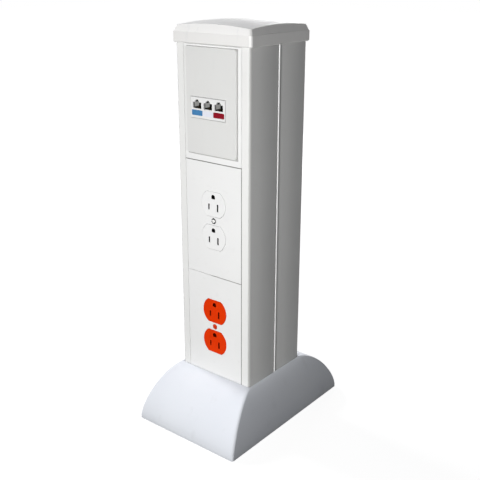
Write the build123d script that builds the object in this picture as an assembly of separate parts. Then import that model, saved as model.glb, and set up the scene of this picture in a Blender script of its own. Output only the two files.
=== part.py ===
from build123d import *
import math
import os

# Service column: a square aluminium column on a floor skirt, with a data plate and two duplex receptacles.
# Millimetres. +Z is up, the front faces -Y, and the origin is on the floor at the column's centre.

# Driving dimensions: column profile
column_width = 101.6        # across the corners
column_depth = 99.6         # front lips to rear lips
column_top = 454.0
side_wall = 2.2
side_bulge = 1.0            # crown of each half of a side
lip_width = 10.5            # flat strip beside the covers
lip_wall = 2.0
lip_return_wall = 2.0
ledge_width = 4.3           # strip that the covers rest on
ledge_wall = 2.0
groove_width = 3.7          # vertical groove in the middle of each side
groove_depth = 3.2
groove_wall = 2.0
groove_trim_width = 2.4     # strip in the rear part of the groove
groove_trim_proud = 0.7
web_wall = 2.0
corner_radius = 3.2
slot_depth_from_front = 7.6 # front of the slot that takes the device brackets
slot_rib_wall = 1.6
slot_rib_length = 4.0
rail_wall = 2.0
rail_reach = 18.3           # from the side wall inwards

# Driving dimensions: floor flange, feet and skirt
flange_wall = 3.0
flange_corner = 8.0
flange_margin = 3.8         # from the flange's edge to the skirt's inside
anchor_radius = 4.5
anchor_inset_x = 14.7
anchor_inset_y = 16.7
skirt_half_x = 73.0
skirt_half_y = 107.0
skirt_top = 61.0
skirt_foot = 3.0            # upright band at the floor
skirt_wall = 2.5
skirt_corner_radius = 3.0
foot_wall = 3.0
foot_height = 41.0
foot_reach = 27.0
foot_side_margin = 2.2
entry_radius = 11.2         # cable entries in the flange
entry_bush_wall = 2.9
entry_bush_height = 9.0

# Driving dimensions: cap
cap_overlap = 8.2           # cap's rim below the column's top
cap_lower_height = 11.7
cap_upper_height = 6.0
cap_wall = 1.8
cap_ledge_step = 0.6
cap_taper = 2.4
cap_corner_radius = 3.0
cap_chamfer = 1.2
cap_dome_radius = 464.0
cap_leg_length = 12.0
cap_leg_wall = 2.0
cap_seat = 4.0              # width of the shoulder that rests on the column

# Driving dimensions: covers, from the top down
top_cover_height = 125.15
cover_height = 132.9
cover_wall = 2.6
data_plate_margin = 8.6     # plate above the joint under it
low_device_drop = 64.05     # middle of the lower receptacle below the joint above it
cover_rib_height = 2.4
cover_rib_wall = 2.0
cover_rib_end = 8.0
skirt_overlap = 5.0         # hidden end of the lowest covers behind the skirt

# Driving dimensions: duplex receptacle
outlet_pitch = 38.9
outlet_face_radius = 17.25
outlet_face_flat = 28.7
outlet_proud = 0.5          # beyond the cover
ground_rise = 8.6           # ground hole above the middle of its face
blade_drop = 3.3            # blade slots below the middle of their face
blade_pitch = 12.7
line_slot = (1.9, 6.9)
neutral_slot = (2.1, 8.6)
ground_hole_radius = 2.6
outlet_end_margin = 0.4     # body beyond the outer end of each face
device_width = 33.2
device_base_wall = 3.0
device_body_depth = 24.5
strap_wall = 1.3
strap_length = 106.0
strap_neck = 18.0
strap_ear_width = 34.0
strap_ear_height = 6.5
strap_hole_pitch = 83.3
strap_window = (21.0, 25.5)
bus_wall = 0.7
bus_floor = 7.6             # body behind the buses
ground_strip_width = 4.0
ground_tab = (10.0, 9.0)
terminal_inset = 7.0        # terminal screws behind the bracket
terminal_rise = 8.5
terminal_margin = 4.5
terminal_bridge_half = 6.0
clip_length = 15.0
clip_height = 6.4
clip_gap = 2.2
bracket_wall = 1.6
bracket_height = 116.0
data_window_half = 20.0     # window in the web behind the jacks

# Driving dimensions: data plate and ports
plate_width = 69.85
plate_height = 114.3
plate_wall = 2.5
plate_corner_radius = 3.0
plate_bevel = 0.5
plate_prong = (6.0, 2.0)
plate_prong_inset = (5.0, 13.0)
port_frame_width = 48.0
port_frame_height = 22.5
port_frame_drop = 6.8       # middle of the frame below the middle of the plate
port_offset = -4.0          # middle of the frame beside the middle of the plate
port_frame_wall = 1.8
port_frame_side = 1.2
port_strap_half = 31.0
port_strap_margin = 4.0     # strap above and below the frame
port_hook_half = 5.0
port_hook_reach = 1.4       # hook behind the strap
port_hook_nib = 0.5
port_pitch = 15.2
port_opening = (11.8, 6.6)
port_step_one = (6.2, 1.7)
port_step_two = (3.4, 1.2)
port_sill = 10.4            # bottom of the openings above the frame's lower edge
port_depth = 13.0
jack_depth = 26.0
jack_height = 14.2
jack_notch_depth = 8.0
jack_cap_depth = 5.0
jack_cap_margin = 0.8       # cap inside the jack's top and bottom
contact_wire = 0.36
contact_pitch = 1.02
contact_rise = 2.2          # back end of a contact above the sill
tab_size = (15.0, 5.8)
tab_depth = 0.8
tab_corner_radius = 0.8
tab_rise = 2.8

# Driving dimensions: barrier and bonding lug
barrier_wall = 1.5
barrier_tab = 14.0
barrier_tab_width = 30.0
barrier_screw_pitch = 18.0
lug_x = 30.0
lug_width = 10.0
lug_wall = 1.6
lug_rise = 19.0             # tongue's lower end above the flange
lug_tongue = 18.0
lug_block = (8.0, 10.0)     # depth and height of the conductor block
lug_bore_radius = 2.3

# Driving dimensions: screws
cover_screw_head_radius = 3.3
cover_screw_radius = 1.75
small_screw_radius = 1.6
small_head_radius = 2.6
small_head_height = 1.9
terminal_screw_radius = 1.9
terminal_head_radius = 3.4
terminal_head_height = 2.0
foot_screw_radius = 2.0
foot_head_radius = 3.6
foot_head_height = 2.4
foot_bolt_radius = 2.95
foot_bolt_flats = 10.0
foot_bolt_head = 4.0

drive_depth = 0.8           # driver slot of a screw
drive_half = 0.45

# Clearances
fit_gap = 0.1               # fixed pieces in their seats
slide_gap = 0.3             # pieces that come off
port_frame_gap = 0.45       # plate and cover around the port frame
skirt_gap = 0.4             # skirt and cap around the column
cover_gap = 0.4             # between one cover and the next
hole_gap = 0.05             # screws in their holes

# Derived places
half_width = column_width / 2
half_depth = column_depth / 2
front = -half_depth
cap_bottom = column_top - cap_overlap
cap_ledge = cap_bottom + cap_lower_height
cap_corner_top = cap_ledge + cap_upper_height
widest = half_width + side_bulge
opening_half = half_width - lip_width
ledge_front = front + cover_wall
ledge_back = ledge_front + ledge_wall
ledge_half = opening_half - ledge_width
slot_front = front + slot_depth_from_front
slot_back = slot_front + bracket_wall + 2 * fit_gap
wall_inside = half_width - side_wall
rail_half = wall_inside - rail_reach
groove_floor = half_width - groove_depth
core_half = groove_floor - groove_wall
cover_half = opening_half - cover_gap
covers_bottom = skirt_top - skirt_overlap
covers_top = cap_bottom - cover_gap
joint_high = covers_top - top_cover_height
joint_low = joint_high - cover_height
data_plate_z = joint_high + data_plate_margin + plate_height / 2
mid_device_z = joint_high - cover_height / 2
low_device_z = joint_low - low_device_drop
compartment_y = (half_depth + web_wall / 2) / 2 - 4.4
bracket_front = slot_front + fit_gap
strap_front = bracket_front - strap_wall
face_front = front - outlet_proud
base_front = strap_front - device_base_wall
bracket_back = bracket_front + bracket_wall
body_back = bracket_front + device_body_depth
device_height = outlet_pitch + outlet_face_flat + 2 * outlet_end_margin
frame_front = front - plate_wall - slide_gap
port_frame_z = data_plate_z - port_frame_drop
port_frame_low = port_frame_z - port_frame_height / 2
port_sill_z = port_frame_low + port_sill
flange_half_x = skirt_half_x - skirt_wall - flange_margin
flange_half_y = skirt_half_y - skirt_wall - flange_margin
anchor_x = flange_half_x - anchor_inset_x
anchor_y = flange_half_y - anchor_inset_y
foot_half = half_width - foot_side_margin
foot_screw_x = half_width - side_wall - foot_screw_radius - 0.6
foot_bolt_x = foot_half - 2.4 * foot_wall - foot_bolt_flats / 2
foot_bolt_y = half_depth + foot_wall + (foot_reach - foot_wall) * 0.6
core_front = -groove_width / 2 - groove_wall
device_window_half = device_width / 2 + terminal_head_height + slide_gap + 1.6
device_window = (-device_window_half, device_window_half)
port_window = (port_offset - port_frame_width / 2 + 0.8, port_offset + port_frame_width / 2 - 0.8)
window_z = device_height / 2 + 2.3
web_front = -web_wall / 2
small_hole = small_screw_radius + hole_gap
terminal_hole = terminal_screw_radius + hole_gap
window_low = data_plate_z - data_window_half
window_high = data_plate_z + data_window_half
barrier_z = joint_high
barrier_screw_x = (-barrier_screw_pitch / 2, barrier_screw_pitch / 2)
barrier_screw_z = barrier_z - barrier_wall - barrier_tab * 0.55
lug_low = flange_wall + lug_rise
lug_block_low = lug_low + lug_tongue
lug_screw_z = lug_low + lug_tongue / 3
lug_clamp_z = lug_block_low + lug_block[1] / 2


def block(x0, x1, y0, y1, z0, z1):
    """Box between its limits along each axis."""
    middle = ((x0 + x1) / 2, (y0 + y1) / 2, (z0 + z1) / 2)
    return Pos(*middle) * Box(abs(x1 - x0), abs(y1 - y0), abs(z1 - z0))


def pin_y(x, z, radius, y0, y1):
    """Round bar along Y."""
    return Pos(x, (y0 + y1) / 2, z) * Rot(90, 0, 0) * Cylinder(radius, abs(y1 - y0))


def pin_z(x, y, radius, z0, z1):
    """Round bar along Z."""
    return Pos(x, y, (z0 + z1) / 2) * Cylinder(radius, abs(z1 - z0))


def pin_x(y, z, radius, x0, x1):
    """Round bar along X."""
    return Pos((x0 + x1) / 2, y, z) * Rot(0, 90, 0) * Cylinder(radius, abs(x1 - x0))


def rounded_slab(width, depth, radius, z0, z1):
    """Upright slab with rounded corners."""
    return Pos(0, 0, z0) * extrude(RectangleRounded(width, depth, radius), z1 - z0)


def rounded_panel(width, height, radius, z, y0, y1):
    """Panel that faces -Y, with rounded corners."""
    sketch = Pos(0, y1, z) * Rot(90, 0, 0) * RectangleRounded(width, height, radius)
    return extrude(sketch, y1 - y0)


def as_node(solids):
    """One node out of separate solids."""
    return Compound(children=list(solids))


def save(name, shape):
    """Write one node."""
    shape.label = name
    export_step(shape, f"parts/{name}.step")


def pan_screw_y(x, z, radius, head_radius, head_height, seat, tip):
    """Pan head screw along Y. Its head lies on the seat and its tip is at the far end."""
    way = 1 if tip > seat else -1
    head = pin_y(x, z, head_radius, seat - way * head_height, seat)
    head = fillet(head.edges().group_by(Axis.Y)[0 if way > 0 else -1], head_height * 0.4)
    top = seat - way * head_height
    slot = block(x - head_radius, x + head_radius, top, top + way * drive_depth,
                 z - drive_half, z + drive_half)
    return head + pin_y(x, z, radius, seat, tip) - slot


# Column profile

def half_outline(half, bulge, y0, y1, radius):
    """One half of the column's section: straight front and middle, crowned sides."""
    middle = (y0 + y1) / 2
    outline = Line((-half, y0), (half, y0))
    outline += ThreePointArc((half, y0), (half + bulge, middle), (half, y1))
    outline += Line((half, y1), (-half, y1))
    outline += ThreePointArc((-half, y1), (-half - bulge, middle), (-half, y0))
    face = make_face(outline)
    if radius > 0:
        face = fillet(face.vertices().group_by(Axis.Y)[0], radius)
    return face


def strip(x0, x1, y0, y1):
    """Rectangle of the section between its limits."""
    return Pos((x0 + x1) / 2, (y0 + y1) / 2) * Rectangle(abs(x1 - x0), abs(y1 - y0))


def front_half_section():
    """Section of the front compartment."""
    groove_half = groove_width / 2
    section = half_outline(half_width, side_bulge, front, -groove_half, corner_radius)
    section -= half_outline(wall_inside, side_bulge, front + lip_wall, core_front, 0)
    section -= strip(-opening_half, opening_half, front - 1, front + lip_wall + 0.1)
    section -= strip(-core_half, core_half, core_front - 0.1, 1)
    for side in (-1, 1):
        section += strip(side * core_half, side * groove_floor, core_front, 0)
        section += strip(side * opening_half, side * (opening_half + lip_return_wall),
                         front + lip_wall - 0.1, ledge_back)
        section += strip(side * ledge_half, side * (opening_half + lip_return_wall), ledge_front, ledge_back)
        root = side * (wall_inside + side_wall / 2)
        section += strip(side * (wall_inside - slot_rib_length), root, slot_front - slot_rib_wall, slot_front)
        section += strip(side * rail_half, root, slot_back, slot_back + rail_wall)
    return section


def make_column():
    """Aluminium column: two compartments back to back with a web between them."""
    section = front_half_section()
    section += mirror(section, Plane.XZ)
    section += strip(-core_half - 0.1, core_half + 0.1, -web_wall / 2, web_wall / 2)
    column = Pos(0, 0, flange_wall) * extrude(section, column_top - flange_wall)
    column -= block(-data_window_half, data_window_half, -web_wall, web_wall, window_low, window_high)
    for x, z in bracket_screw_places():
        column -= pin_y(x, z, small_hole, slot_back - 0.2, slot_back + rail_wall + 0.2)
    lip_inside = half_depth - lip_wall - 0.2
    for x, z, way in foot_screw_places():
        column -= pin_y(x, z, foot_screw_radius + hole_gap, way * (half_depth + 1), way * lip_inside)
    for x in barrier_screw_x:
        column -= pin_y(x, barrier_screw_z, small_hole, -web_wall, web_wall)
    return column - pin_y(lug_x, lug_screw_z, terminal_hole, -web_wall, web_wall)


def make_groove_trim(side):
    """Round-nosed plastic strip pressed into the rear part of a side's groove."""
    nose = groove_trim_width / 2
    back = groove_width / 2 - fit_gap
    tip = half_width + groove_trim_proud
    section = strip(side * (groove_floor + fit_gap), side * (tip - nose), back - groove_trim_width, back)
    section += Pos(side * (tip - nose), back - nose) * Circle(nose)
    return Pos(0, 0, flange_wall) * extrude(section, column_top - flange_wall)


# Floor flange, feet, entries and skirt

def make_flange():
    """Steel floor plate with four anchor holes and two cable entries."""
    flange = rounded_slab(2 * flange_half_x, 2 * flange_half_y, flange_corner, 0, flange_wall)
    for x in (-anchor_x, anchor_x):
        for y in (-anchor_y, anchor_y):
            flange -= pin_z(x, y, anchor_radius, -1, flange_wall + 1)
    for x in (-foot_bolt_x, foot_bolt_x):
        for y in (-foot_bolt_y, foot_bolt_y):
            flange -= pin_z(x, y, foot_bolt_radius + hole_gap, -1, flange_wall + 1)
    for y in (-compartment_y, compartment_y):
        flange -= pin_z(0, y, entry_radius + entry_bush_wall + fit_gap, -1, flange_wall + 1)
    return flange


def make_entry_bush(y):
    """Plastic bush that lines a cable entry."""
    outer = entry_radius + entry_bush_wall
    bush = pin_z(0, y, outer, 0, entry_bush_height)
    bush += pin_z(0, y, outer + 2.0, flange_wall, flange_wall + 2.0)
    bush -= pin_z(0, y, entry_radius, -1, entry_bush_height + 1)
    return fillet(bush.edges().group_by(Axis.Z)[-1], entry_bush_wall * 0.3)


def foot_screw_places():
    """Places of the screws that join the feet to the column's lips."""
    heights = (flange_wall + foot_height * 0.32, flange_wall + foot_height * 0.78)
    return [(x, z, way) for x in (-foot_screw_x, foot_screw_x) for z in heights for way in (-1, 1)]


def make_foot(way):
    """Angle bracket between the flange and the column's lips, with two gussets."""
    face = way * half_depth
    foot = block(-foot_half, foot_half, face, face + way * foot_wall, flange_wall, flange_wall + foot_height)
    foot += block(-foot_half, foot_half, face, face + way * (foot_wall + foot_reach),
                  flange_wall, flange_wall + foot_wall)
    window_half = ledge_half - foot_wall
    foot -= block(-window_half, window_half, face - way, face + way * (foot_wall + 1),
                  flange_wall + 3 * foot_wall, flange_wall + foot_height - 2 * foot_wall)
    y0 = face + way * foot_wall
    z0 = flange_wall + foot_wall
    for x in (-foot_half, foot_half - foot_wall):
        profile = make_face(Polyline((x, y0, z0), (x, y0 + way * foot_reach * 0.8, z0),
                                     (x, y0, z0 + foot_height * 0.8), close=True))
        gusset = extrude(profile, foot_wall, dir=(1, 0, 0))
        foot += gusset
    for x, z, screw_way in foot_screw_places():
        if screw_way == way:
            foot -= pin_y(x, z, foot_screw_radius + 2 * hole_gap, face - way, face + way * (foot_wall + 1))
            head_room = pin_y(x, z, foot_head_radius + 0.4, y0, y0 + way * foot_reach)
            foot -= head_room
    for x in (-foot_bolt_x, foot_bolt_x):
        foot -= pin_z(x, way * foot_bolt_y, foot_bolt_radius + 2 * hole_gap, 0, flange_wall + foot_wall + 1)
    return foot


def make_foot_bolt(x, y):
    """Hexagon bolt that holds a foot to the flange."""
    seat = flange_wall + foot_wall
    hexagon = RegularPolygon(foot_bolt_flats / 2, 6, major_radius=False)
    head = Pos(x, y, seat) * extrude(hexagon, foot_bolt_head)
    return head + pin_z(x, y, foot_bolt_radius, fit_gap, seat)


def skirt_level(share):
    """Height share of the skirt's flare at a share of its reach."""
    return (1 - share ** 1.7) ** 0.7


def skirt_form(inner_x, inner_y, outer_x, outer_y, top, foot, radius):
    """Flared form through rounded rectangles, from the floor to its top."""
    shares = (1.0, 0.965, 0.88, 0.75, 0.6, 0.44, 0.28, 0.13, 0.0)
    sections = []
    for share in shares:
        half_x = inner_x + (outer_x - inner_x) * share
        half_y = inner_y + (outer_y - inner_y) * share
        level = foot + (top - foot) * skirt_level(share)
        sections.append(Pos(0, 0, level) * RectangleRounded(2 * half_x, 2 * half_y, radius))
    form = loft(sections)
    return form + rounded_slab(2 * outer_x, 2 * outer_y, radius, 0, foot)


def make_skirt():
    """Flared floor skirt, a shell that slides up the column."""
    hole_x = widest + skirt_gap
    hole_y = half_depth + skirt_gap
    skirt = skirt_form(hole_x, hole_y, skirt_half_x, skirt_half_y, skirt_top, skirt_foot, skirt_corner_radius)
    hollow = skirt_form(hole_x - skirt_wall, hole_y - skirt_wall, skirt_half_x - skirt_wall,
                        skirt_half_y - skirt_wall, skirt_top - skirt_wall, skirt_foot,
                        skirt_corner_radius * 0.5)
    skirt -= hollow
    skirt -= rounded_slab(2 * hole_x, 2 * hole_y, corner_radius, -1, skirt_top + 1)
    return skirt


# Cap

def make_cap():
    """Two-tier push-on cap with a domed top and four legs inside the column."""
    inner_x = widest + skirt_gap
    inner_y = half_depth + skirt_gap
    outer_x = inner_x + cap_wall
    outer_y = inner_y + cap_wall
    lower = rounded_slab(2 * outer_x, 2 * outer_y, cap_corner_radius, cap_bottom, cap_ledge)
    lower = chamfer(lower.edges().group_by(Axis.Z)[0], cap_chamfer)
    rise = cap_corner_top - cap_ledge
    tall = 2 * rise
    base_x = outer_x - cap_ledge_step
    base_y = outer_y - cap_ledge_step
    shrink = cap_taper * tall / rise
    upper = loft([
        Pos(0, 0, cap_ledge) * RectangleRounded(2 * base_x, 2 * base_y, cap_corner_radius),
        Pos(0, 0, cap_ledge + tall) * RectangleRounded(2 * (base_x - shrink), 2 * (base_y - shrink),
                                                       cap_corner_radius * 0.6)])
    corner = math.hypot(base_x - cap_taper, base_y - cap_taper)
    dome_centre = cap_corner_top - math.sqrt(cap_dome_radius ** 2 - corner ** 2)
    upper &= Pos(0, 0, dome_centre) * Sphere(cap_dome_radius)
    cap = lower + upper
    cap -= rounded_slab(2 * inner_x, 2 * inner_y, corner_radius, cap_bottom - 1, column_top)
    hollow_x = wall_inside - cap_seat
    hollow_y = half_depth - side_wall - cap_seat
    cap -= rounded_slab(2 * hollow_x, 2 * hollow_y, cap_seat, column_top - 1, cap_corner_top - cap_wall)
    leg_out = wall_inside + side_bulge - slide_gap - 0.25
    for side in (-1, 1):
        for way in (-1, 1):
            cap += block(side * leg_out, side * (leg_out - cap_leg_wall), way * half_depth * 0.3,
                         way * half_depth * 0.6, column_top - cap_leg_length, column_top + 3)
    return cap


# Covers

def outlet_prism(z, grow, y0, y1):
    """Round outlet form with flats above and below, along Y."""
    flat = outlet_face_flat / 2 + grow
    radius = outlet_face_radius + grow
    return pin_y(0, z, radius, y0, y1) & block(-radius, radius, y0, y1, z - flat, z + flat)


def make_cover(z0, z1, way):
    """Flat cover between the lips, with two ribs that locate it between the ledges."""
    outside = way * half_depth
    inside = way * (half_depth - cover_wall)
    low = z0 + cover_gap / 2
    high = z1 - cover_gap / 2
    cover = block(-cover_half, cover_half, outside, inside, low, high)
    for side in (-1, 1):
        rib_out = ledge_half - slide_gap
        cover += block(side * rib_out, side * (rib_out - cover_rib_wall), inside,
                       inside - way * cover_rib_height, low + cover_rib_end, high - cover_rib_end)
    return cover


def make_duplex_cover(z0, z1, centre):
    """Front cover with two outlet openings and a countersunk screw hole."""
    cover = make_cover(z0, z1, -1)
    for z in (centre - outlet_pitch / 2, centre + outlet_pitch / 2):
        cover -= outlet_prism(z, slide_gap, front - 1, ledge_front + 1)
    cover -= pin_y(0, centre, cover_screw_radius + slide_gap, front - 1, ledge_front + 1)
    sink = cover_screw_head_radius - cover_screw_radius
    cone = Pos(0, front + sink / 2, centre) * Rot(90, 0, 0) * Cone(
        cover_screw_radius + fit_gap, cover_screw_head_radius + fit_gap, sink)
    return cover - cone


def make_cover_screw(centre):
    """Oval head screw in the middle of a duplex cover."""
    sink = cover_screw_head_radius - cover_screw_radius
    screw = Pos(0, front + sink / 2, centre) * Rot(90, 0, 0) * Cone(
        cover_screw_radius, cover_screw_head_radius, sink)
    dome_radius = 9.0
    depth = math.sqrt(dome_radius ** 2 - cover_screw_head_radius ** 2)
    dome = Pos(0, front + depth, centre) * Sphere(dome_radius)
    dome &= pin_y(0, centre, cover_screw_head_radius, front - 2, front)
    screw += dome
    screw += pin_y(0, centre, cover_screw_radius, front + sink - 0.1, bracket_front + 2.5)
    return screw - block(-4, 4, front - 2, front + 0.3, centre - drive_half, centre + drive_half)


def make_top_cover():
    """Upper front cover with the port opening and four slots for the data plate's prongs."""
    cover = make_cover(joint_high, covers_top + cover_gap / 2, -1)
    cover -= port_block(port_frame_gap, front - 1, ledge_front + 5)
    for x, z in prong_places():
        cover -= prong(x, z, slide_gap, front - 1, ledge_front + 1)
    return cover


# Data plate, port frame and jacks

def port_block(grow, y0, y1):
    """Outside of the port frame, or of an opening around it."""
    half = port_frame_width / 2 + grow
    rise = port_frame_height / 2 + grow
    return block(port_offset - half, port_offset + half, y0, y1, port_frame_z - rise, port_frame_z + rise)


def prong_places():
    """Places of the data plate's prongs."""
    x = plate_width / 2 - plate_prong_inset[0]
    rise = plate_height / 2 - plate_prong_inset[1]
    return [(side * x, data_plate_z + up * rise) for side in (-1, 1) for up in (-1, 1)]


def prong(x, z, grow, y0, y1):
    """Upright bar of a prong, or of its slot."""
    half_x = plate_prong[1] / 2 + grow
    half_z = plate_prong[0] / 2 + grow
    return block(x - half_x, x + half_x, y0, y1, z - half_z, z + half_z)


def make_data_plate():
    """Raised plate around the port frame."""
    plate_front = front - plate_wall
    plate = rounded_panel(plate_width, plate_height, plate_corner_radius, data_plate_z, plate_front, front)
    plate = chamfer(plate.edges().group_by(Axis.Y)[0], plate_bevel)
    plate -= port_block(port_frame_gap, plate_front - 1, front + 1)
    for x, z in prong_places():
        plate += prong(x, z, 0, front - 0.5, ledge_front + 1.0)
    return plate


def port_outline(x, grow, y0, y1):
    """Stepped opening of one jack, with the latch notch upwards."""
    low = port_sill_z - grow
    shoulder = port_sill_z + port_opening[1]
    step = shoulder + port_step_one[1]
    top = step + port_step_two[1]
    half = port_opening[0] / 2 + grow
    shape = block(x - half, x + half, y0, y1, low, shoulder + grow)
    half = port_step_one[0] / 2 + grow
    shape += block(x - half, x + half, y0, y1, low, step + grow)
    half = port_step_two[0] / 2 + grow
    return shape + block(x - half, x + half, y0, y1, low, top + grow)


def port_places():
    """Middle of each port across the column."""
    return (port_offset - port_pitch, port_offset, port_offset + port_pitch)


def tab_block(x, grow, y0, y1):
    """Icon tab with rounded corners, or its recess."""
    half = tab_size[0] / 2 + grow
    low = port_frame_low + tab_rise
    tab = block(x - half, x + half, y0, y1, low - grow, low + tab_size[1] + grow)
    return fillet(tab.edges().filter_by(Axis.Y), tab_corner_radius + grow)


def hook_block(way, grow, y0, y1, low, high):
    """Hook of the port frame, or its notch, above or below the jacks."""
    edge = port_frame_z + way * port_frame_height / 2
    half = port_hook_half + grow
    return block(port_offset - half, port_offset + half, y0, y1, edge + way * low, edge + way * high)


def make_port_frame():
    """Plastic frame that carries the jacks and the tabs, with a hook above and below."""
    frame = port_block(0, frame_front, strap_front)
    frame -= port_block(-port_frame_side, frame_front + port_frame_wall, strap_front + 1)
    hook_end = bracket_front + port_hook_reach
    for way in (-1, 1):
        frame += hook_block(way, 0, strap_front - 0.1, hook_end, -port_frame_side, 0)
        frame += hook_block(way, 0, bracket_front + fit_gap, hook_end, -port_frame_side, port_hook_nib)
    for x in port_places():
        frame -= port_outline(x, 0.0, frame_front - 1, frame_front + port_frame_wall + 1)
        frame -= tab_block(x, hole_gap, frame_front - 1, frame_front + tab_depth)
    return frame


def make_port_strap():
    """Steel strap of the port frame, with a window for the jacks and notches for the hooks."""
    rise = port_frame_height / 2 + port_strap_margin
    reaches = ((port_strap_half, port_frame_z - rise, port_frame_z + rise),
               (strap_neck / 2, data_plate_z - strap_length / 2, data_plate_z + strap_length / 2))
    strap = Part()
    for half, low, high in reaches:
        strap += block(-half, half, strap_front, bracket_front, low, high)
    strap -= port_block(-port_frame_side, strap_front - 1, bracket_front + 1)
    for way in (-1, 1):
        strap -= hook_block(way, fit_gap, strap_front - 1, bracket_front + 1, -2 * port_frame_side, fit_gap)
    for z in strap_hole_places(data_plate_z):
        strap -= pin_y(0, z, small_hole + hole_gap, strap_front - 1, bracket_front + 1)
    return strap


def make_jack(x):
    """Modular jack behind the frame's front wall."""
    jack_front = frame_front + port_frame_wall
    jack_back = jack_front + jack_depth
    half = port_pitch / 2 - fit_gap
    high = port_frame_low + port_frame_height - port_frame_side - fit_gap
    jack = block(x - half, x + half, jack_front, jack_back, high - jack_height, high)
    jack -= port_outline(x, 0.0, jack_front - 1, jack_front + port_depth)
    notch = port_frame_side
    for side in (-1, 1):
        jack -= block(x + side * half, x + side * (half - notch), jack_back - jack_notch_depth,
                      jack_back + 1, high - jack_height - 1, high + 1)
    return jack


def make_jack_cap(x):
    """Wire cap on the back of a jack."""
    back = frame_front + port_frame_wall + jack_depth
    half = port_pitch / 2 - fit_gap - port_frame_side
    high = port_frame_low + port_frame_height - port_frame_side - fit_gap
    cap = block(x - half, x + half, back, back + jack_cap_depth,
                high - jack_height + jack_cap_margin, high - jack_cap_margin)
    for turn in range(3):
        slot_x = x + (turn - 1) * half * 0.6
        cap -= block(slot_x - 0.5, slot_x + 0.5, back + 2, back + jack_cap_depth + 1,
                     high - jack_cap_depth, high)
    return cap


def make_contact(x):
    """One spring wire of a jack, from the sill up to the back of the port."""
    mouth = frame_front + port_frame_wall
    back = mouth + port_depth
    side = x - contact_wire / 2
    low = port_sill_z
    bend = low + contact_wire
    high = low + contact_rise
    path = Polyline((side, back, low), (side, mouth + 2.0, low), (side, mouth + 1.6, bend),
                    (side, back, high), (side, back, high - contact_wire), (side, mouth + 3.8, bend),
                    (side, back, bend), close=True)
    return extrude(make_face(path), contact_wire, dir=(1, 0, 0))


def make_contacts():
    """Eight spring wires in each jack."""
    wires = []
    for middle in port_places():
        for turn in range(8):
            wires.append(make_contact(middle + (turn - 3.5) * contact_pitch))
    return as_node(wires)


# Device brackets, barrier, bonding lug and window grommet

def strap_hole_places(centre):
    """Heights of the two screws of one device."""
    return (centre - strap_hole_pitch / 2, centre + strap_hole_pitch / 2)


def bracket_screw_places():
    """Places of the screws that hold the device brackets to the rails."""
    x = rail_half + small_head_radius + 0.3
    rise = bracket_height / 2 - 6
    return [(side * x, centre + up * rise) for centre in (low_device_z, mid_device_z, data_plate_z)
            for side in (-1, 1) for up in (-1, 1)]


def make_bracket(centre, window):
    """Steel bracket that slides in the column's slots and carries one device."""
    half = wall_inside - fit_gap
    rise = bracket_height / 2
    ahead = bracket_front - 1
    behind = bracket_back + 1
    bracket = block(-half, half, bracket_front, bracket_back, centre - rise, centre + rise)
    bracket -= block(*window, ahead, behind, centre - window_z, centre + window_z)
    for z in strap_hole_places(centre):
        bracket -= pin_y(0, z, small_hole, ahead, behind)
    for x, z in bracket_screw_places():
        if abs(z - centre) < rise:
            bracket -= pin_y(x, z, small_hole + hole_gap, ahead, behind)
    return bracket


def make_barrier():
    """Sheet that parts the power section from the data section, with a tab screwed to the web."""
    high = barrier_z
    low = barrier_z - barrier_wall
    rail_back = slot_back + rail_wall
    core_gap = core_front - slide_gap
    reaches = ((rail_half - slide_gap, ledge_front + slide_gap, rail_back + 2),
               (wall_inside - 1, rail_back + slide_gap, core_gap),
               (core_half - slide_gap, core_gap - 1, web_front))
    sheet = block(-barrier_tab_width / 2, barrier_tab_width / 2, web_front - barrier_wall, web_front,
                  low - barrier_tab, high)
    for half, y0, y1 in reaches:
        sheet += block(-half, half, y0, y1, low, high)
    for x in barrier_screw_x:
        sheet -= pin_y(x, barrier_screw_z, small_hole, web_front - barrier_wall - 1, web_front + 1)
    return sheet


def make_lug():
    """Bonding lug on the web: a tongue and a block with a conductor hole."""
    left = lug_x - lug_width / 2
    right = lug_x + lug_width / 2
    depth, height = lug_block
    middle = web_front - depth / 2 - fit_gap
    lug = block(left, right, web_front - lug_wall, web_front, lug_low, lug_block_low)
    lug += block(left, right, web_front - depth, web_front, lug_block_low, lug_block_low + height)
    lug -= pin_z(lug_x, middle, lug_bore_radius, lug_block_low - 1, lug_block_low + height + 1)
    lug -= pin_y(lug_x, lug_screw_z, terminal_hole, web_front - lug_wall - 1, web_front + 1)
    return lug - pin_y(lug_x, lug_clamp_z, terminal_hole, web_front - depth - 1, middle)


def make_lug_screws():
    """Screw of the lug and set screw of its conductor hole."""
    head = (terminal_screw_radius, terminal_head_radius, terminal_head_height)
    clamp_seat = web_front - lug_block[0]
    fixing = pan_screw_y(lug_x, lug_screw_z, *head, web_front - lug_wall, web_front + web_wall - 0.2)
    clamp = pan_screw_y(lug_x, lug_clamp_z, *head, clamp_seat, clamp_seat + 2.8)
    return as_node([fixing, clamp])


def make_grommet():
    """Edge grommet in the window of the web."""
    lap = 2.5
    wall = 1.0
    outer = data_window_half + lap
    inner = data_window_half - 2.0
    thick = web_wall / 2 + wall
    middle = data_plate_z
    beyond = outer + 1
    grommet = block(-outer, outer, -thick, thick, middle - outer, middle + outer)
    slot = block(-beyond, beyond, web_front, -web_front, middle - beyond, middle + beyond)
    slot -= block(-data_window_half, data_window_half, -web_wall, web_wall, window_low, window_high)
    grommet -= slot
    return grommet - block(-inner, inner, -thick - 1, thick + 1, middle - inner, middle + inner)


# Duplex receptacle

def outlet_centres(centre):
    """Heights of the two outlet faces."""
    return (centre + outlet_pitch / 2, centre - outlet_pitch / 2)


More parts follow.
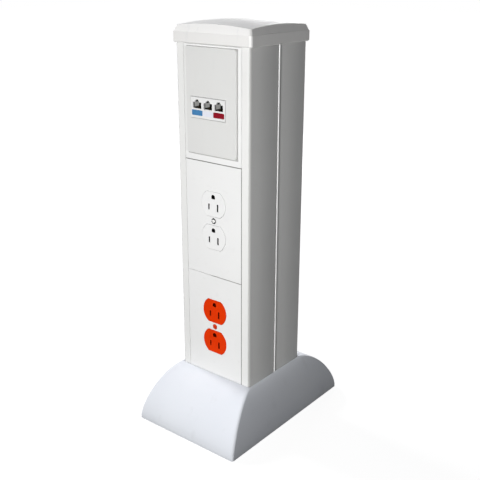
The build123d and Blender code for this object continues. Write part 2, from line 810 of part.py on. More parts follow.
def make_face_moulding(centre):
    """Front moulding with two outlet faces and their blade and ground openings."""
    half = device_width / 2
    rise = device_height / 2
    face = block(-half, half, base_front, strap_front, centre - rise, centre + rise)
    for z in outlet_centres(centre):
        outlet = outlet_prism(z, 0, face_front, base_front + 0.2)
        face += fillet(outlet.edges().group_by(Axis.Y)[0], 0.5)
    back = strap_front + 1
    for z in outlet_centres(centre):
        slot_z = z - blade_drop
        for x, size in ((-blade_pitch / 2, line_slot), (blade_pitch / 2, neutral_slot)):
            face -= block(x - size[0] / 2, x + size[0] / 2, face_front - 1, back,
                          slot_z - size[1] / 2, slot_z + size[1] / 2)
        face -= pin_y(0, z + ground_rise, ground_hole_radius, face_front - 1, back)
        face -= block(-ground_hole_radius, ground_hole_radius, face_front - 1, back,
                      z + ground_rise - 0.9 * ground_hole_radius, z + ground_rise)
    return face - pin_y(0, centre, cover_screw_radius + 2 * slide_gap, face_front - 1, back)


def make_strap(centre):
    """Steel mounting strap with two windows for the blades."""
    half = device_width / 2
    rise = device_height / 2
    end = strap_length / 2
    strap = block(-half, half, strap_front, bracket_front, centre - rise, centre + rise)
    strap += block(-strap_neck / 2, strap_neck / 2, strap_front, bracket_front, centre - end, centre + end)
    ear = strap_ear_width / 2
    for z0 in (centre - end, centre + end - strap_ear_height):
        strap += block(-ear, ear, strap_front, bracket_front, z0, z0 + strap_ear_height)
    for z in outlet_centres(centre):
        strap -= block(-strap_window[0] / 2, strap_window[0] / 2, strap_front - 1, bracket_front + 1,
                       z - strap_window[1] / 2, z + strap_window[1] / 2)
    for z in strap_hole_places(centre):
        strap -= pin_y(0, z, small_hole + hole_gap, strap_front - 1, bracket_front + 1)
    return strap - pin_y(0, centre, cover_screw_radius + slide_gap, strap_front - 1, bracket_front + 1)


bus_back = body_back - bus_floor
ground_screw_y = bus_back - ground_tab[0] / 2
clip_out = blade_pitch / 2 + clip_gap / 2 + bus_wall
clip_in = blade_pitch / 2 - clip_gap / 2 - bus_wall
terminal_plate_x = device_width / 2 - 0.2
terminal_y = bracket_back + terminal_inset
terminal_reach = terminal_rise + terminal_margin
ground_tube_out = ground_hole_radius + 0.55
ground_tube_in = ground_hole_radius - 0.05


def make_body(centre):
    """Rear body with open pockets for the clips and side notches for the terminals."""
    half = device_width / 2
    rise = device_height / 2
    body = block(-half, half, bracket_front, body_back, centre - rise, centre + rise)
    low = outlet_centres(centre)[1] - blade_drop - clip_height / 2
    high = outlet_centres(centre)[0] - blade_drop + clip_height / 2
    for side in (-1, 1):
        body -= block(side * (clip_in - 0.4), side * (clip_out + 0.6), bracket_front - 1, bus_back,
                      low - 0.4, high + 0.4)
        body -= block(side * (terminal_plate_x - 4.4), side * (half + 1), bracket_front - 1, bus_back,
                      centre - terminal_reach - 0.2, centre + terminal_reach + 0.2)
        body -= block(side * clip_out, side * half, bracket_front - 1, bus_back,
                      centre - terminal_bridge_half - 0.2, centre + terminal_bridge_half + 0.2)
    for z in outlet_centres(centre):
        body -= pin_y(0, z + ground_rise, ground_tube_out + 0.15, bracket_front - 1, bus_back)
    strip_low = outlet_centres(centre)[1] + ground_rise
    strip_half = ground_strip_width / 2 + slide_gap
    body -= block(-strip_half, strip_half, bracket_front - 1, bus_back, strip_low, centre + rise + 1)
    return body


def make_bus(centre, side):
    """Brass bus of one side: two blade clips, the strip between them and the terminal plate."""
    clip_front = bus_back - clip_length
    reach = clip_height / 2
    heights = [z - blade_drop for z in outlet_centres(centre)]
    inner = (side * clip_in, side * (clip_in + bus_wall))
    outer = (side * clip_out, side * (clip_out - bus_wall))
    bus = block(*outer, bus_back - 5, bus_back, min(heights) - reach, max(heights) + reach)
    for z in heights:
        bus += block(*outer, clip_front, bus_back, z - reach, z + reach)
        bus += block(*inner, clip_front, bus_back, z - reach, z + reach)
        bus += block(inner[0], outer[0], bus_back - bus_wall, bus_back, z - reach, z + reach)
    plate = (side * terminal_plate_x, side * (terminal_plate_x - bus_wall))
    bus += block(*plate, bracket_back, bus_back, centre - terminal_reach, centre + terminal_reach)
    bus += block(plate[0], outer[0], bus_back - bus_wall, bus_back,
                 centre - terminal_bridge_half, centre + terminal_bridge_half)
    for z in (-terminal_rise, terminal_rise):
        bus -= pin_x(terminal_y, centre + z, terminal_screw_radius + hole_gap,
                     side * (terminal_plate_x - 2), side * (terminal_plate_x + 2))
    return bus


def make_ground_bus(centre):
    """Ground strip with two pin tubes and the tab of the green screw."""
    low = outlet_centres(centre)[1] + ground_rise
    end = centre + device_height / 2
    strip_half = ground_strip_width / 2
    tab_half = ground_tab[0] / 2
    bus = block(-strip_half, strip_half, bus_back - bus_wall, bus_back, low, end + bus_wall)
    bus += block(-tab_half, tab_half, bus_back - ground_tab[1], bus_back, end, end + bus_wall)
    for z in outlet_centres(centre):
        bus += pin_y(0, z + ground_rise, ground_tube_out, bus_back - clip_length, bus_back)
    for z in outlet_centres(centre):
        bus -= pin_y(0, z + ground_rise, ground_tube_in, bus_back - clip_length - 1, bus_back - bus_wall)
        bus -= block(-0.5, 0.5, bus_back - clip_length - 1, bus_back - bus_wall,
                     z + ground_rise, z + ground_rise + ground_tube_out + 1)
    return bus - pin_z(0, ground_screw_y, terminal_screw_radius + hole_gap, end - 1, end + bus_wall + 1)


def make_terminal_screw(centre, side, z):
    """Terminal screw along X, with its head outside."""
    seat = terminal_plate_x
    top = seat + terminal_head_height
    tip = seat - 4.0
    middle = centre + z
    screw = pin_x(terminal_y, middle, terminal_head_radius, side * seat, side * top)
    screw += pin_x(terminal_y, middle, terminal_screw_radius, side * seat, side * tip)
    return screw - block(side * (top - drive_depth), side * (top + 1), terminal_y - 5, terminal_y + 5,
                         middle - drive_half, middle + drive_half)


def make_ground_screw(centre):
    """Green ground screw along Z, on the tab above the body."""
    seat = centre + device_height / 2 + bus_wall
    y = ground_screw_y
    screw = pin_z(0, y, terminal_head_radius, seat, seat + terminal_head_height)
    screw += pin_z(0, y, terminal_screw_radius, seat - 2.4, seat)
    top = seat + terminal_head_height
    return screw - block(-drive_half, drive_half, y - 5, y + 5, top - drive_depth, top + 1)


def save_duplex(name, centre):
    """Write the nodes of one duplex receptacle."""
    save(f"{name}_face", make_face_moulding(centre))
    body = make_body(centre)
    body -= pin_y(0, centre, cover_screw_radius + 2 * slide_gap, bracket_front - 1, bracket_front + 5)
    ground_screw = make_ground_screw(centre)
    body -= pin_z(0, ground_screw_y, terminal_screw_radius + fit_gap, centre + device_height / 2 - 2.2,
                  centre + device_height / 2 + 1)
    save(f"{name}_body", body)
    save(f"{name}_strap", make_strap(centre))
    save(f"{name}_line_bus", make_bus(centre, -1))
    save(f"{name}_neutral_bus", make_bus(centre, 1))
    save(f"{name}_ground_bus", make_ground_bus(centre))
    return ground_screw


def main():
    """Build and write every node."""
    os.makedirs("parts", exist_ok=True)
    save("column_profile", make_column())
    save("groove_trims", as_node(make_groove_trim(side) for side in (-1, 1)))
    save("floor_flange", make_flange())
    save("entry_bushes", as_node(make_entry_bush(y) for y in (-compartment_y, compartment_y)))
    save("foot_front", make_foot(-1))
    save("foot_rear", make_foot(1))
    save("foot_bolts", as_node(make_foot_bolt(x, y) for x in (-foot_bolt_x, foot_bolt_x)
                               for y in (-foot_bolt_y, foot_bolt_y)))
    save("foot_screws", as_node(
        pan_screw_y(x, z, foot_screw_radius, foot_head_radius, foot_head_height,
                    way * (half_depth + foot_wall), way * (half_depth - lip_wall - 1.6))
        for x, z, way in foot_screw_places()))
    save("floor_skirt", make_skirt())
    save("cap", make_cap())

    save("low_cover", make_duplex_cover(covers_bottom, joint_low, low_device_z))
    save("mid_cover", make_duplex_cover(joint_low, joint_high, mid_device_z))
    save("top_cover", make_top_cover())
    save("rear_cover_low", make_cover(covers_bottom, joint_low, 1))
    save("rear_cover_top", make_cover(joint_low, covers_top + cover_gap / 2, 1))
    save("low_cover_screw", make_cover_screw(low_device_z))
    save("mid_cover_screw", make_cover_screw(mid_device_z))

    save("data_plate", make_data_plate())
    save("port_frame", make_port_frame())
    save("port_strap", make_port_strap())
    for name, x in zip(("left", "middle", "right"), port_places()):
        save(f"jack_{name}", make_jack(x))
        tab = tab_block(x, 0, frame_front + tab_depth, frame_front)
        save(f"tab_{name}", tab)
    save("jack_caps", as_node(make_jack_cap(x) for x in port_places()))
    save("jack_contacts", make_contacts())

    save("bracket_low", make_bracket(low_device_z, device_window))
    save("bracket_middle", make_bracket(mid_device_z, device_window))
    save("bracket_data", make_bracket(data_plate_z, port_window))
    save("bracket_screws", as_node(
        pan_screw_y(x, z, small_screw_radius, small_head_radius, small_head_height,
                    bracket_front, slot_back + rail_wall + 0.4)
        for x, z in bracket_screw_places()))
    save("barrier", make_barrier())
    save("barrier_screws", as_node(
        pan_screw_y(x, barrier_screw_z, small_screw_radius, small_head_radius, small_head_height,
                    -web_wall / 2 - barrier_wall, web_wall / 2 + 0.8)
        for x in barrier_screw_x))
    save("bonding_lug", make_lug())
    save("bonding_lug_screws", make_lug_screws())
    save("window_grommet", make_grommet())

    ground_screws = [save_duplex("orange", low_device_z), save_duplex("white", mid_device_z)]
    save("ground_screws", as_node(ground_screws))
    for name, side in (("line_screws", -1), ("neutral_screws", 1)):
        save(name, as_node(make_terminal_screw(centre, side, z)
                           for centre in (low_device_z, mid_device_z)
                           for z in (-terminal_rise, terminal_rise)))
    save("strap_screws", as_node(
        pan_screw_y(0, z, small_screw_radius, small_head_radius, small_head_height,
                    strap_front, bracket_back + 2)
        for centre in (low_device_z, mid_device_z, data_plate_z) for z in strap_hole_places(centre)))


main()
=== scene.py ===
import bpy
import math
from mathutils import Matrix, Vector

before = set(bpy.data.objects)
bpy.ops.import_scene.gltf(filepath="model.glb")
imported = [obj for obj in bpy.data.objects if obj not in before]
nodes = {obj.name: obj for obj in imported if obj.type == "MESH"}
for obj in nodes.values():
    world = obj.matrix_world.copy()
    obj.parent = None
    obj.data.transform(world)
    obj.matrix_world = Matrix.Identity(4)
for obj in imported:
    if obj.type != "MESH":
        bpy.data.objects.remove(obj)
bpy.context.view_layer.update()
print("frame loaded,", len(nodes), "nodes")

perMetre = 1000     # sizes of patterns and marks are in millimetres, Blender's are in metres


# small helpers

def hexColour(code):
    # sRGB hex to the linear values that a shader takes
    channels = [int(code[i:i + 2], 16) / 255 for i in (1, 3, 5)]
    return [c / 12.92 if c <= 0.04045 else ((c + 0.055) / 1.055) ** 2.4 for c in channels] + [1.0]


def addNode(tree, kind, settings=None, inputs=None):
    # one node with its settings, its values and its incoming links
    node = tree.nodes.new(kind)
    for name, value in (settings or {}).items():
        setattr(node, name, value)
    for name, value in (inputs or {}).items():
        if isinstance(value, bpy.types.NodeSocket):
            tree.links.new(value, node.inputs[name])
        else:
            node.inputs[name].default_value = value
    return node


def newMaterial(name):
    material = bpy.data.materials.new(name)
    material.use_nodes = True
    material.node_tree.nodes.clear()
    return material, material.node_tree


noiseBand = {"fineShare": 0.55, "start": 0.3, "end": 0.7}     # weight of the fine octaves, part in use


def patternOf(tree, size, octaves, low, high, stretch=(1, 1, 1),
              start=noiseBand["start"], end=noiseBand["end"]):
    # noise whose grains are that many millimetres, spread between two values
    place = addNode(tree, "ShaderNodeTexCoord").outputs["Object"]
    mapped = addNode(tree, "ShaderNodeMapping", inputs={"Vector": place, "Scale": stretch})
    noise = addNode(tree, "ShaderNodeTexNoise", inputs={
        "Vector": mapped.outputs["Vector"], "Scale": perMetre / size, "Detail": octaves,
        "Roughness": noiseBand["fineShare"]})
    return addNode(tree, "ShaderNodeMapRange", inputs={
        "Value": noise.outputs["Fac"], "From Min": start, "From Max": end,
        "To Min": low, "To Max": high}).outputs["Result"]


def mixTone(tree, factor, first, second):
    # second tone over the first, each a hex or a socket
    first, second = [hexColour(t) if isinstance(t, str) else t for t in (first, second)]
    return addNode(tree, "ShaderNodeMix", {"data_type": "RGBA"}, {0: factor, 6: first, 7: second}).outputs[2]


def zoneOf(tree, zone):
    # 1 inside a box in millimetres with soft edges, 0 outside; each axis is (middle, half, softness)
    place = addNode(tree, "ShaderNodeTexCoord").outputs["Object"]
    parts = addNode(tree, "ShaderNodeSeparateXYZ", inputs={"Vector": place})
    inside = None
    for axis, (middle, half, soft) in zone.items():
        away = addNode(tree, "ShaderNodeMath", {"operation": "SUBTRACT"}, {
            0: parts.outputs[axis], 1: middle / perMetre})
        away = addNode(tree, "ShaderNodeMath", {"operation": "ABSOLUTE"}, {0: away.outputs[0]})
        share = addNode(tree, "ShaderNodeMapRange", inputs={
            "Value": away.outputs[0], "From Min": (half - soft) / perMetre,
            "From Max": (half + soft) / perMetre, "To Min": 1.0, "To Max": 0.0}).outputs["Result"]
        if inside is not None:
            share = addNode(tree, "ShaderNodeMath", {"operation": "MULTIPLY"}, {
                0: inside, 1: share}).outputs[0]
        inside = share
    return inside


def rimOf(tree, height, inner, outer):
    # 0 inside and 1 outside a ring round a screw at the middle of the front, in millimetres
    place = addNode(tree, "ShaderNodeTexCoord").outputs["Object"]
    centred = addNode(tree, "ShaderNodeMapping", inputs={
        "Vector": place, "Location": (0, 0, -height / perMetre), "Scale": (1, 0, 1)})
    reach = addNode(tree, "ShaderNodeVectorMath", {"operation": "LENGTH"}, {0: centred.outputs["Vector"]})
    return addNode(tree, "ShaderNodeMapRange", inputs={
        "Value": reach.outputs["Value"], "From Min": inner / perMetre,
        "From Max": outer / perMetre}).outputs["Result"]


def finishSurface(tree, tone, roughness, height, look):
    # bump, principled shader and output
    bump = addNode(tree, "ShaderNodeBump", inputs={
        "Height": height, "Strength": 1.0, "Distance": look["relief"] / perMetre})
    surface = addNode(tree, "ShaderNodeBsdfPrincipled", inputs={
        "Base Color": tone, "Roughness": roughness, "Normal": bump.outputs["Normal"],
        "IOR": look.get("ior", 1.5), "Metallic": look.get("metallic", 0.0),
        "Specular IOR Level": look.get("gloss", 0.5)})
    addNode(tree, "ShaderNodeOutputMaterial", inputs={"Surface": surface.outputs["BSDF"]})


def markZones(tree, tone, look):
    # places named in the look that get a painted tone: painted shade in joints, cavities, corners and screw
    # rims, and partly painted light in the ports
    for mark in look.get("marks", []):
        inside = zoneOf(tree, mark["zone"]) if "zone" in mark else rimOf(tree, *mark["rim"])
        if mark.get("share", 1.0) < 1.0:
            inside = addNode(tree, "ShaderNodeMath", {"operation": "MULTIPLY"}, {
                0: inside, 1: mark["share"]}).outputs[0]
        tone = mixTone(tree, inside, tone, mark["tone"])
    return tone


# materials; in each look the sizes of the patterns and the relief are in millimetres

coat = {"cloudOctaves": 3.0, "fleckOctaves": 2.0, "peelOctaves": 1.0,
        "dustStart": 0.62, "dustEnd": 0.78,         # dust lies only on the peaks of the noise
        "smoother": 0.05, "rougher": 0.06}          # how far the roughness swings


def powderCoat(name, look):
    # powder coat: sprayed dry and baked, so it has a soft orange peel and a satin sheen
    material, tree = newMaterial(name)
    clouds = patternOf(tree, look["cloud"], coat["cloudOctaves"], 0.0, 1.0)
    tone = mixTone(tree, clouds, look["light"], look["deep"])
    dusty = patternOf(tree, look["fleck"], coat["fleckOctaves"], 0.0, look["dust"],
                      start=coat["dustStart"], end=coat["dustEnd"])
    tone = markZones(tree, mixTone(tree, dusty, tone, look["dustTone"]), look)
    roughness = patternOf(tree, look["fleck"], coat["fleckOctaves"],
                          look["roughness"] - coat["smoother"], look["roughness"] + coat["rougher"])
    peel = patternOf(tree, look["peel"], coat["peelOctaves"], 0.0, 1.0)
    finishSurface(tree, tone, roughness, peel, look)
    return material


plastic = {"flowOctaves": 2.0, "rubOctaves": 4.0, "textureOctaves": 3.0,
           "rubStretch": (1, 1, 0.4),               # hands and cloths rub up and down
           "wearStart": 0.6, "wearEnd": 0.72,       # wear shows only on the peaks of the noise
           "smoother": 0.06, "rougher": 0.08}       # how far the roughness swings


def mouldedPlastic(name, look):
    # moulded plastic: spark-eroded mould texture, slight flow clouds and duller skin where it is handled;
    # the mould's grain is drawn at 0.8 to 2 mm, coarser than the real 0.3 mm, so that it shows
    material, tree = newMaterial(name)
    clouds = patternOf(tree, look["flow"], plastic["flowOctaves"], 0.0, 1.0)
    tone = mixTone(tree, clouds, look["light"], look["deep"])
    scuffs = patternOf(tree, look["rub"], plastic["rubOctaves"], 0.0, look["wear"], plastic["rubStretch"],
                       plastic["wearStart"], plastic["wearEnd"])
    tone = markZones(tree, mixTone(tree, scuffs, tone, look["wearTone"]), look)
    roughness = patternOf(tree, look["rub"], plastic["rubOctaves"], look["roughness"] - plastic["smoother"],
                          look["roughness"] + plastic["rougher"], plastic["rubStretch"])
    grain = patternOf(tree, look["texture"], plastic["textureOctaves"], 0.0, 1.0)
    finishSurface(tree, tone, roughness, grain, look)
    return material


metal = {"cloudOctaves": 3.0, "lineOctaves": 2.0,
         "lineStretch": (1, 1, 0.06),               # rolling lines run along the height
         "tarnishStart": 0.55, "tarnishEnd": 0.7,   # tarnish shows only on the peaks of the noise
         "smoother": 0.08, "rougher": 0.1}          # how far the roughness swings


def platedMetal(name, look):
    # metal part: rolling lines along its height, cloudy plating and fine tarnish;
    # the lines are drawn 0.3 to 1.2 mm apart, coarser than the real 0.1 mm, so that they show
    material, tree = newMaterial(name)
    clouds = patternOf(tree, look["cloud"], metal["cloudOctaves"], 0.0, 1.0)
    tone = mixTone(tree, clouds, look["light"], look["deep"])
    tarnish = patternOf(tree, look["cloud"], metal["cloudOctaves"], 0.0, look["wear"],
                        start=metal["tarnishStart"], end=metal["tarnishEnd"])
    tone = mixTone(tree, tarnish, tone, look["wearTone"])
    roughness = patternOf(tree, look["lines"], metal["lineOctaves"], look["roughness"] - metal["smoother"],
                          look["roughness"] + metal["rougher"], metal["lineStretch"])
    lines = patternOf(tree, look["lines"], metal["lineOctaves"], 0.0, 1.0, metal["lineStretch"])
    finishSurface(tree, tone, roughness, lines, dict(look, metallic=1.0))
    return material


outlets = {"orange": 123.3, "white": 253.8, "pitch": 38.9,          # heights of the two receptacles, mm
           "cavityX": (0, 10.5, 0.1), "cavityY": (-45, 5.1, 0.1),   # all marks are (middle, half, softness)
           "cavityHalf": 12.6, "cavityEdge": 0.1}


def contactCavities(height, tone):
    # blade and ground openings behind the face, where no light falls
    return [{"zone": {"X": outlets["cavityX"], "Y": outlets["cavityY"],
                      "Z": (height + way * outlets["pitch"] / 2, outlets["cavityHalf"],
                            outlets["cavityEdge"])},
             "tone": tone} for way in (-1, 1)]


ports = {"Left": -19.2, "Middle": -4.0, "Right": 11.2}     # middles of the three ports across the front, mm
# the carrier's pale tone sits only on the left inner wall of each port: partly painted light for the light
# that falls in there
carrier = {"aside": -5.9, "half": 1.5, "softness": 0.3, "Y": (-46.3, 3.6, 0.2), "Z": (382.2, 2.9, 0.3),
           "tone": "#F0F0EC"}


def jackCarrierAndPaintedLight(middle):
    # pale contact carrier laid only on the port's left inner wall, seen through the port past its black rim:
    # partly the carrier's own tone, partly painted light where light falls in
    across = (middle + carrier["aside"], carrier["half"], carrier["softness"])
    return [{"zone": {"X": across, "Y": carrier["Y"], "Z": carrier["Z"]}, "tone": carrier["tone"]}]


# painted shade on joints and edges that are too narrow to show their own shade at this size

# painted shade: the rounded front corners are darkened because the face there turns from the light
paintedCornerShade = [     # rounded front corners
    {"zone": {"X": (way * 50.2, 1.2, 0.5), "Y": (-48.5, 1.6, 0.4)}, "tone": "#A8A8A5", "share": 0.6}
    for way in (-1, 1)]
frontCovers = (-49.8, 4.0, 0.2)     # the front covers along Y, so that no joint is drawn on the rear ones
coverPaintedShade = [
    # painted shade in the seam along the right lip, below the upper cover, where the narrow gap lies in
    # shadow
    {"zone": {"X": (39.75, 0.3, 0.08), "Y": frontCovers, "Z": (160, 160, 3.0)},
     "tone": "#4C4B48", "share": 0.85},
    # painted shadow line on the cover's face round the data plate
    {"zone": {"X": (0, 35.4, 0.15), "Y": (-49.8, 0.3, 0.1), "Z": (385.35, 58.25, 0.15)},
     "tone": "#83817E", "share": 0.65},
    # painted shade on the strip of the upper cover to the left of the plate
    {"zone": {"X": (-37.6, 2.3, 0.1), "Y": frontCovers, "Z": (386, 57, 1.0)},
     "tone": "#DDDDDB", "share": 0.8},
    # painted shade in the joint of the upper and the middle cover
    {"zone": {"Y": frontCovers, "Z": (320.25, 0.5, 0.1)}, "tone": "#55534F", "share": 0.8},
    # painted shade in the right part of the joint of the middle and the lower cover
    {"zone": {"X": (18, 23, 4), "Y": frontCovers, "Z": (187.35, 0.5, 0.1)},
     "tone": "#6A6864", "share": 0.7},
]

coatLooks = {
    "columnPowderCoat": {
        "light": "#EAEAE8", "deep": "#E7E7E5", "dustTone": "#DDDCD8", "dust": 0.2, "peel": 2.4, "cloud": 70,
        "fleck": 9, "roughness": 0.42, "relief": 0.012, "gloss": 0.35, "marks": paintedCornerShade},
    "coverPowderCoat": {
        "light": "#ECECEB", "deep": "#E9E9E8", "dustTone": "#DAD9D6", "dust": 0.2, "peel": 2.4, "cloud": 55,
        "fleck": 8, "roughness": 0.45, "relief": 0.012, "marks": coverPaintedShade},
    "whiteScrewEnamel": {
        "light": "#F4F4F2", "deep": "#EEEEEC", "dustTone": "#C9C7C1", "dust": 0.3, "peel": 0.8, "cloud": 4,
        "fleck": 1.5, "roughness": 0.3, "relief": 0.006,
        # painted shade: a dark ring on the screw head's rim stands for the shadow in the countersink
        "marks": [{"rim": (outlets["white"], 1.9, 2.1), "tone": "#1E1E1D"}]},
    "orangeScrewEnamel": {
        "light": "#D93A06", "deep": "#CC3204", "dustTone": "#A22A08", "dust": 0.3, "peel": 0.8, "cloud": 4,
        "fleck": 1.5, "roughness": 0.35, "relief": 0.006, "gloss": 0.2,
        # painted shade: a darker ring on the screw head's rim stands for the shadow in the countersink
        "marks": [{"rim": (outlets["orange"], 2.6, 3.1), "tone": "#7E1E05", "share": 0.7}]},
    "greenScrewDye": {
        "light": "#2E7D46", "deep": "#1F6334", "dustTone": "#5E8C66", "dust": 0.4, "peel": 0.6, "cloud": 3,
        "fleck": 1.2, "roughness": 0.35, "relief": 0.006},
}
plasticLooks = {
    "skirtAbs": {
        "ior": 1.54, "light": "#DBDEE3", "deep": "#D6D9DF", "wearTone": "#C8CACE", "wear": 0.25,
        "texture": 2.0, "flow": 90, "rub": 14, "roughness": 0.6, "relief": 0.02, "gloss": 0.25},
    "capAbs": {
        "ior": 1.54, "light": "#E7E6E4", "deep": "#E4E3E1", "wearTone": "#CBCDCF", "wear": 0.25,
        "texture": 2.0, "flow": 60, "rub": 11, "roughness": 0.46, "relief": 0.016, "gloss": 0.8},
    "plateAbs": {
        "ior": 1.54, "light": "#DBDBD9", "deep": "#D8D8D6", "wearTone": "#D2D2D0", "wear": 0.2,
        "texture": 1.6, "flow": 50, "rub": 9, "roughness": 0.44, "relief": 0.012},
    "frameAbs": {
        "ior": 1.54, "light": "#E6E6E5", "deep": "#E2E2E1", "wearTone": "#D4D4D2", "wear": 0.2,
        "texture": 1.2, "flow": 18, "rub": 5, "roughness": 0.36, "relief": 0.008},
    "trimPvc": {
        "ior": 1.54, "light": "#F6F6F5", "deep": "#F2F2F1", "wearTone": "#E0E0DE", "wear": 0.2,
        "texture": 1.2, "flow": 40, "rub": 8, "roughness": 0.35, "relief": 0.006},
    "whiteNylon": {
        "ior": 1.53, "light": "#EDEDEC", "deep": "#EAEAE9", "wearTone": "#DADAD8", "wear": 0.2,
        "texture": 1.4, "flow": 25, "rub": 6, "roughness": 0.35, "relief": 0.008,
        "marks": contactCavities(outlets["white"], "#0B0B0B")},
    "orangeNylon": {
        "ior": 1.53, "light": "#E63A02", "deep": "#DC3301", "wearTone": "#B32C06", "wear": 0.3,
        "texture": 1.4, "flow": 25, "rub": 6, "roughness": 0.4, "relief": 0.008, "gloss": 0.05,
        "marks": contactCavities(outlets["orange"], "#6E1202")},
    "thermosetGrey": {
        "ior": 1.58, "light": "#4A4E55", "deep": "#3F434A", "wearTone": "#62666C", "wear": 0.3,
        "texture": 1.2, "flow": 20, "rub": 5, "roughness": 0.55, "relief": 0.02},
    "jackCapPbt": {
        "ior": 1.55, "light": "#8E9196", "deep": "#7D8085", "wearTone": "#A4A6A9", "wear": 0.3,
        "texture": 0.9, "flow": 9, "rub": 3, "roughness": 0.45, "relief": 0.01},
    "blueTabAbs": {
        "ior": 1.54, "light": "#3F7CAD", "deep": "#3873A4", "wearTone": "#2C6394", "wear": 0.3,
        "texture": 0.8, "flow": 7, "rub": 3, "roughness": 0.33, "relief": 0.006, "gloss": 0.25},
    "whiteTabAbs": {
        "ior": 1.54, "light": "#E3E5EE", "deep": "#DCDEE8", "wearTone": "#CFD0D8", "wear": 0.3,
        "texture": 0.8, "flow": 7, "rub": 3, "roughness": 0.33, "relief": 0.006},
    "redTabAbs": {
        "ior": 1.54, "light": "#8A0A20", "deep": "#7E081B", "wearTone": "#6C0617", "wear": 0.3,
        "texture": 0.8, "flow": 7, "rub": 3, "roughness": 0.33, "relief": 0.006, "gloss": 0.1},
    "entryNylon": {
        "ior": 1.53, "light": "#1C1D1F", "deep": "#141516", "wearTone": "#3A3B3D", "wear": 0.35,
        "texture": 1.0, "flow": 12, "rub": 4, "roughness": 0.5, "relief": 0.014, "gloss": 0.3},
}
jackLook = {
    "ior": 1.55, "light": "#0F1011", "deep": "#090A0B", "wearTone": "#232527", "wear": 0.3,
    "texture": 0.9, "flow": 9, "rub": 3, "roughness": 0.5, "relief": 0.01, "gloss": 0.15}
for side, middle in ports.items():
    plasticLooks["jackPbt" + side] = dict(jackLook, marks=jackCarrierAndPaintedLight(middle))
metalLooks = {
    "zincPlatedSteel": {
        "light": "#C6C9CC", "deep": "#AEB2B7", "wearTone": "#B8B49E", "wear": 0.45,
        "lines": 1.2, "cloud": 9, "roughness": 0.36, "relief": 0.01},
    "stampedBrass": {
        "light": "#D2B068", "deep": "#BE9A52", "wearTone": "#8F6F3A", "wear": 0.4,
        "lines": 0.8, "cloud": 6, "roughness": 0.3, "relief": 0.006},
    "nickelledSteel": {
        "light": "#D6D6D3", "deep": "#C4C4C0", "wearTone": "#A7A59E", "wear": 0.35,
        "lines": 0.6, "cloud": 3, "roughness": 0.25, "relief": 0.004},
    "goldPlatedWire": {
        "light": "#8F7638", "deep": "#7E6630", "wearTone": "#6A5428", "wear": 0.3,
        "lines": 0.3, "cloud": 2, "roughness": 0.22, "relief": 0.002},
    "tinnedCopper": {
        "light": "#CBB8A6", "deep": "#BDA48E", "wearTone": "#A9744E", "wear": 0.5,
        "lines": 0.8, "cloud": 5, "roughness": 0.38, "relief": 0.008},
}
materials = {name: powderCoat(name, look) for name, look in coatLooks.items()}
materials.update({name: mouldedPlastic(name, look) for name, look in plasticLooks.items()})
materials.update({name: platedMetal(name, look) for name, look in metalLooks.items()})
print("materials made:", len(materials))

nodeFinish = {
    "columnPowderCoat": ["column_profile"],
    "coverPowderCoat": ["low_cover", "mid_cover", "top_cover", "rear_cover_low", "rear_cover_top"],
    "trimPvc": ["groove_trims"],
    "skirtAbs": ["floor_skirt"],
    "capAbs": ["cap"],
    "plateAbs": ["data_plate"],
    "frameAbs": ["port_frame"],
    "whiteNylon": ["white_face"],
    "orangeNylon": ["orange_face"],
    "thermosetGrey": ["white_body", "orange_body"],
    "jackPbtLeft": ["jack_left"],
    "jackPbtMiddle": ["jack_middle"],
    "jackPbtRight": ["jack_right"],
    "jackCapPbt": ["jack_caps"],
    "blueTabAbs": ["tab_left"],
    "whiteTabAbs": ["tab_middle"],
    "redTabAbs": ["tab_right"],
    "entryNylon": ["entry_bushes", "window_grommet"],
    "whiteScrewEnamel": ["mid_cover_screw"],
    "orangeScrewEnamel": ["low_cover_screw"],
    "greenScrewDye": ["ground_screws", "bonding_lug_screws"],
    "zincPlatedSteel": ["floor_flange", "foot_front", "foot_rear", "foot_bolts", "foot_screws", "bracket_low",
                        "bracket_middle", "bracket_data", "bracket_screws", "barrier", "barrier_screws",
                        "orange_strap", "white_strap", "port_strap", "strap_screws"],
    "stampedBrass": ["orange_line_bus", "orange_neutral_bus", "orange_ground_bus", "white_line_bus",
                     "white_neutral_bus", "white_ground_bus", "line_screws"],
    "nickelledSteel": ["neutral_screws"],
    "goldPlatedWire": ["jack_contacts"],
    "tinnedCopper": ["bonding_lug"],
}
for finish, names in nodeFinish.items():
    for name in names:
        nodes[name].data.materials.clear()
        nodes[name].data.materials.append(materials[finish])
print("nodes dressed")


# floor, lights and camera

studio = {"floorSize": 16.0, "floorTone": "#6E6E6E", "floorBounce": "#484848",
          "nearGlow": 0.9, "farGlow": 1.0, "glowReach": (0.5, 1.4),     # the floor is white beyond the shadow
          "skyTone": "#F2F5FA", "skyLevel": 0.085}


def cameraShare(tree):
    # 1 for rays that show the studio itself: seen, mirrored or through glass
    path = addNode(tree, "ShaderNodeLightPath")
    seen = addNode(tree, "ShaderNodeMath", {"operation": "MAXIMUM"}, {
        0: path.outputs["Is Camera Ray"], 1: path.outputs["Is Glossy Ray"]})
    return addNode(tree, "ShaderNodeMath", {"operation": "MAXIMUM"}, {
        0: seen.outputs[0], 1: path.outputs["Is Transmission Ray"]}).outputs[0]


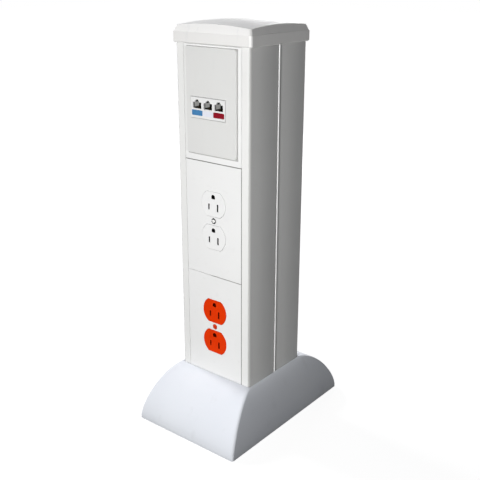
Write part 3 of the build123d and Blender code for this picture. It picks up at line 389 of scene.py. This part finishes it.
def addFloor():
    bpy.ops.object.select_all(action="DESELECT")
    bpy.ops.mesh.primitive_plane_add(size=studio["floorSize"], location=(0, 0, 0))
    floor = bpy.context.active_object
    floor.name = "studioFloor"
    material, tree = newMaterial("paleStudioFloor")
    bounce = addNode(tree, "ShaderNodeBsdfDiffuse", inputs={"Color": hexColour(studio["floorBounce"])})
    pale = addNode(tree, "ShaderNodeBsdfDiffuse", inputs={"Color": hexColour(studio["floorTone"])})
    place = addNode(tree, "ShaderNodeTexCoord").outputs["Object"]
    away = addNode(tree, "ShaderNodeVectorMath", {"operation": "LENGTH"}, {0: place}).outputs["Value"]
    near, far = studio["glowReach"]
    level = addNode(tree, "ShaderNodeMapRange", inputs={
        "Value": away, "From Min": near, "From Max": far,
        "To Min": studio["nearGlow"], "To Max": studio["farGlow"]})
    glow = addNode(tree, "ShaderNodeEmission", inputs={
        "Color": (1, 1, 1, 1), "Strength": level.outputs["Result"]})
    lifted = addNode(tree, "ShaderNodeAddShader", inputs={0: pale.outputs[0], 1: glow.outputs[0]})
    both = addNode(tree, "ShaderNodeMixShader", inputs={
        0: cameraShare(tree), 1: bounce.outputs[0], 2: lifted.outputs[0]})
    addNode(tree, "ShaderNodeOutputMaterial", inputs={"Surface": both.outputs[0]})
    floor.data.materials.append(material)


def setWorld():
    world = bpy.data.worlds.new("studioWorld")
    bpy.context.scene.world = world
    world.use_nodes = True
    tree = world.node_tree
    tree.nodes.clear()
    sky = addNode(tree, "ShaderNodeBackground", inputs={
        "Color": hexColour(studio["skyTone"]), "Strength": studio["skyLevel"]})
    white = addNode(tree, "ShaderNodeBackground", inputs={"Color": (1, 1, 1, 1), "Strength": 1.0})
    both = addNode(tree, "ShaderNodeMixShader", inputs={
        0: cameraShare(tree), 1: sky.outputs[0], 2: white.outputs[0]})
    addNode(tree, "ShaderNodeOutputWorld", inputs={"Surface": both.outputs[0]})


# soft boxes: bearing in degrees, positive to the right of the front, and height, distance and size in metres
lamps = {
    "frontKey": {
        "bearing": 15.0, "height": 0.38, "distance": 0.86, "size": 0.26, "level": 0.9, "tone": "#FFFFFF"},
    "upperLeft": {
        "bearing": -92, "height": 1.75, "distance": 1.7, "size": 0.5, "level": 0.72, "tone": "#FAFBFF"},
    "rearFill": {
        "bearing": 205, "height": 0.5, "distance": 1.6, "size": 0.8, "level": 0.5, "tone": "#FFFFFF"},
}
aimHeight = 0.24     # the lamps point at the middle of the column


def addLamp(name, lamp):
    data = bpy.data.lights.new(name, "AREA")
    bearing = math.radians(lamp["bearing"])
    across, along = math.sin(bearing) * lamp["distance"], -math.cos(bearing) * lamp["distance"]
    place = Vector((across, along, lamp["height"]))
    way = place - Vector((0, 0, aimHeight))
    data.shape = "DISK"
    data.size = lamp["size"]
    data.energy = math.pi ** 2 * way.length ** 2 * lamp["level"]     # level 1 shows a colour as it is written
    data.color = hexColour(lamp["tone"])[:3]
    light = bpy.data.objects.new(name, data)
    bpy.context.scene.collection.objects.link(light)
    light.location = place
    light.rotation_euler = way.to_track_quat("Z", "Y").to_euler()


# place in metres, turn in degrees, focal length and centre in pixels of the frame, sensor in millimetres
view = {"place": (0.53663, -0.66730, 0.52535), "azimuth": 38.94, "elevation": 19.64,
        "focal": 771.11, "centre": (239.9, 238.25), "frameSize": 480, "sensor": 36}


def addCamera():
    data = bpy.data.cameras.new("photoCamera")
    size = view["frameSize"]
    data.sensor_width = view["sensor"]
    data.lens = view["focal"] / size * view["sensor"]
    data.shift_x = (size / 2 - view["centre"][0]) / size
    data.shift_y = (view["centre"][1] - size / 2) / size
    camera = bpy.data.objects.new("photoCamera", data)
    bpy.context.scene.collection.objects.link(camera)
    camera.location = view["place"]
    camera.rotation_euler = (math.radians(90 - view["elevation"]), 0, math.radians(view["azimuth"]))
    bpy.context.scene.camera = camera


addFloor()
setWorld()
for name, lamp in lamps.items():
    addLamp(name, lamp)
addCamera()
bpy.context.scene.view_settings.view_transform = "Standard"
print("floor, lights and camera set")
